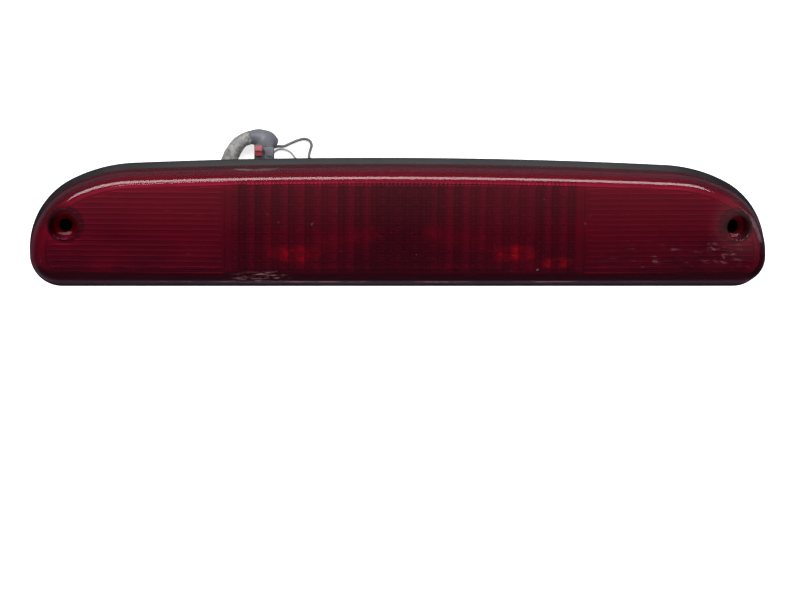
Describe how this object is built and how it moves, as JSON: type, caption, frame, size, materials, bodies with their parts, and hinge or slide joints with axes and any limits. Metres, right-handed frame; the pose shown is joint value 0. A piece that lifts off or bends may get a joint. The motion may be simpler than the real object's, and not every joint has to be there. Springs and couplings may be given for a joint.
{
  "type": "third brake light",
  "caption": "High-mount stop lamp of a pickup cab: red ribbed lens on a black housing with a foam gasket, twist-lock bulb socket and wiring pigtail.",
  "frame": {"origin": "middle of the lamp on the plane of its two rear feet, on which it lies", "axes": "+Z out of the lens, +X along the lamp to the right seen from the front, +Y to the lamp's top edge"},
  "size_m": [0.38, 0.0809, 0.062],
  "materials": {
    "lens_red": "transparent red moulded acrylic, polished",
    "bead_black": "butyl sealant, semi-gloss",
    "housing_black": "moulded black plastic, fine texture",
    "metallised": "vacuum-metallised plastic",
    "foam_black": "closed-cell foam",
    "socket_plastic": "heat-resistant moulded plastic",
    "silicone_brown": "silicone rubber",
    "contact_brass": "tinned spring brass",
    "bulb_glass": "clear blown glass",
    "bulb_wire": "nickel wire and tungsten coil",
    "wire_dark": "dark grey wire insulation",
    "wire_light": "light grey wire insulation",
    "harness_tape": "cloth harness tape, mottled grey",
    "connector_grey": "blue-grey moulded nylon",
    "boot_grey": "blue-grey moulded rubber",
    "seal_blue": "silicone seal",
    "lock_red": "red moulded plastic"
  },
  "bodies": {
    "lamp": {"lens": "lens_red", "lens_seal_bead": "bead_black", "housing": "housing_black", "reflector": "metallised", "mounting_gasket": "foam_black", "vent_filter_left": "foam_black", "vent_filter_right": "foam_black", "wire_feed": "wire_dark", "wire_ground": "wire_light", "harness_trunk": "harness_tape", "connector_boot": "boot_grey", "connector_body": "connector_grey", "connector_terminal_left": "contact_brass", "connector_terminal_right": "contact_brass", "connector_seal": "seal_blue"},
    "socket": {"bulb_socket": "socket_plastic", "socket_seal": "silicone_brown", "socket_contact_left": "contact_brass", "socket_contact_right": "contact_brass", "wire_seal_left": "silicone_brown", "wire_seal_right": "silicone_brown"},
    "bulb": {"bulb_glass": "bulb_glass", "bulb_filament": "bulb_wire", "bulb_lead_left": "bulb_wire", "bulb_lead_right": "bulb_wire"},
    "latch": {"connector_latch": "connector_grey"},
    "lock": {"connector_lock": "lock_red"}
  },
  "joints": [
    {"name": "socket_turn", "type": "hinge", "parent": "lamp", "child": "socket", "pos_m": [0, 0, 0.0158], "axis": [0, 0, 1], "range_deg": [0, 30]},
    {"name": "bulb_pull", "type": "slide", "parent": "socket", "child": "bulb", "axis": [0, 0, 1], "range_m": [0, 0.007]},
    {"name": "latch_press", "type": "hinge", "parent": "lamp", "child": "latch", "pos_m": [-0.0686, 0.027, 0.0131], "axis": [-1, 0, 0], "range_deg": [0, 6], "stiffness_Nm_per_rad": 0.05},
    {"name": "lock_slide", "type": "slide", "parent": "lamp", "child": "lock", "axis": [0, -1, 0], "range_m": [0, 0.003]}
  ]
}
